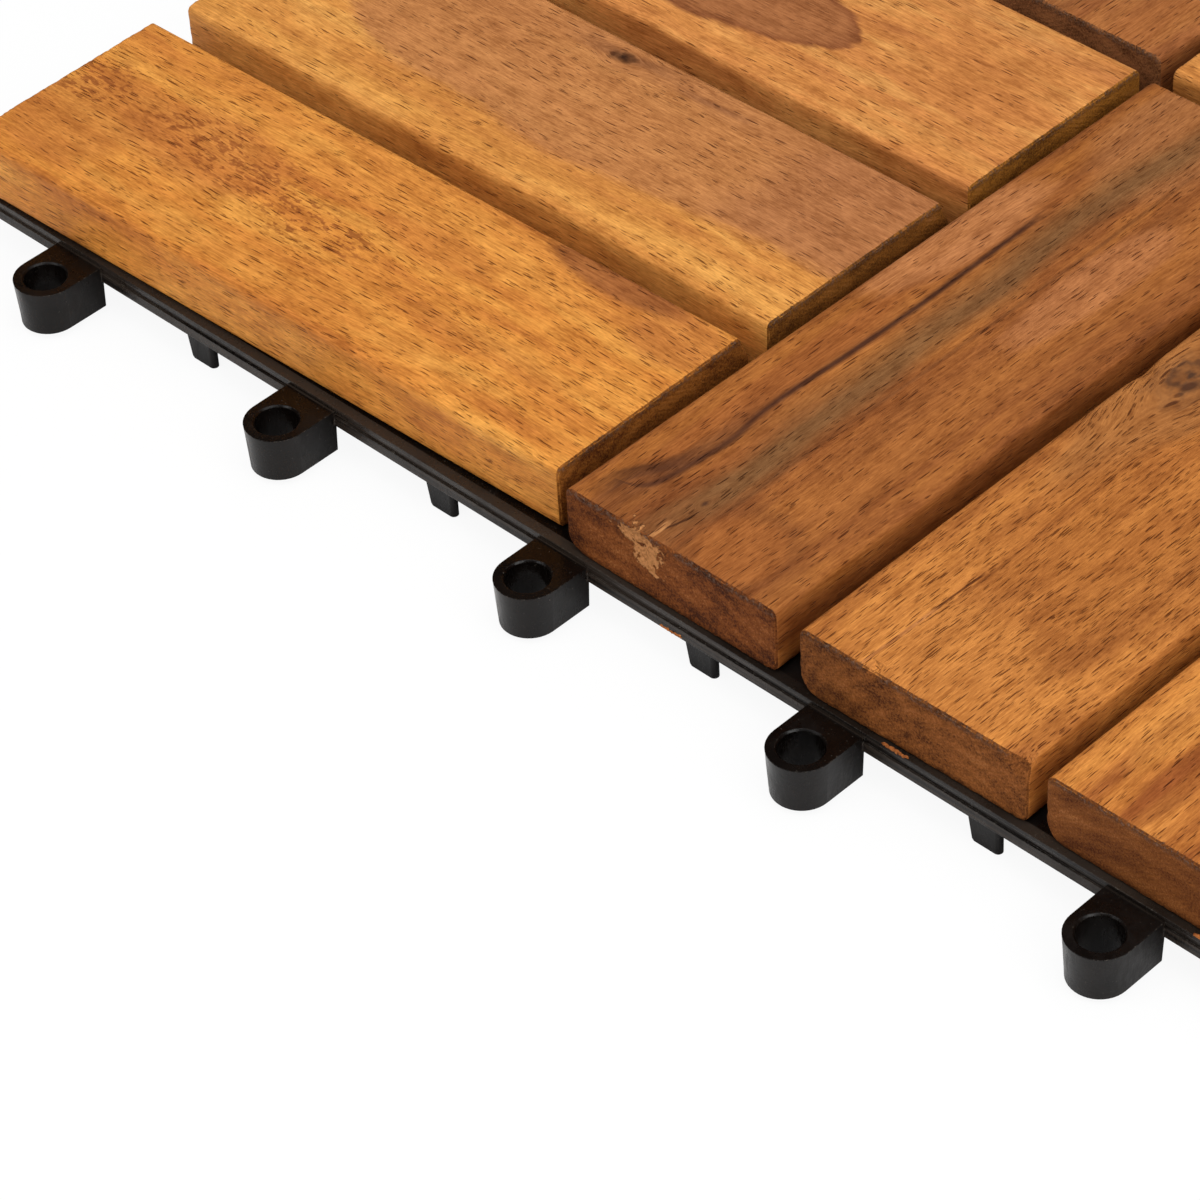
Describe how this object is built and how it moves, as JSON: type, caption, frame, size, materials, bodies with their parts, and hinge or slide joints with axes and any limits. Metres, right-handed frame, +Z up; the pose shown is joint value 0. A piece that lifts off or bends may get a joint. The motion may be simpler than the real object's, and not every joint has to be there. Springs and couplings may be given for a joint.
{
  "type": "interlocking deck tile",
  "caption": "Square deck tile of oiled hardwood slats in alternating groups on a black plastic grid, with loops on two sides and pegs on the other two.",
  "frame": {"origin": "middle of the tile's 300 mm square place in the deck, at ground level, on the foot of the middle stud", "axes": "+X to the right along the front looped side, +Y to the back, +Z up"},
  "size_m": [0.3107, 0.3113, 0.024],
  "materials": {
    "base_plastic": "black injection moulded polypropylene, satin",
    "oiled_wood": "oiled acacia, planed and sanded, sawn ends",
    "screw_steel": "zinc plated steel"
  },
  "bodies": {
    "root": {"base_grid": "base_plastic", "slat_screws": "screw_steel", "front_left_slat_1": "oiled_wood", "front_left_slat_2": "oiled_wood", "front_left_slat_3": "oiled_wood", "front_right_slat_1": "oiled_wood", "front_right_slat_2": "oiled_wood", "front_right_slat_3": "oiled_wood", "back_left_slat_1": "oiled_wood", "back_left_slat_2": "oiled_wood", "back_left_slat_3": "oiled_wood", "back_right_slat_1": "oiled_wood", "back_right_slat_2": "oiled_wood", "back_right_slat_3": "oiled_wood"}
  },
  "joints": []
}
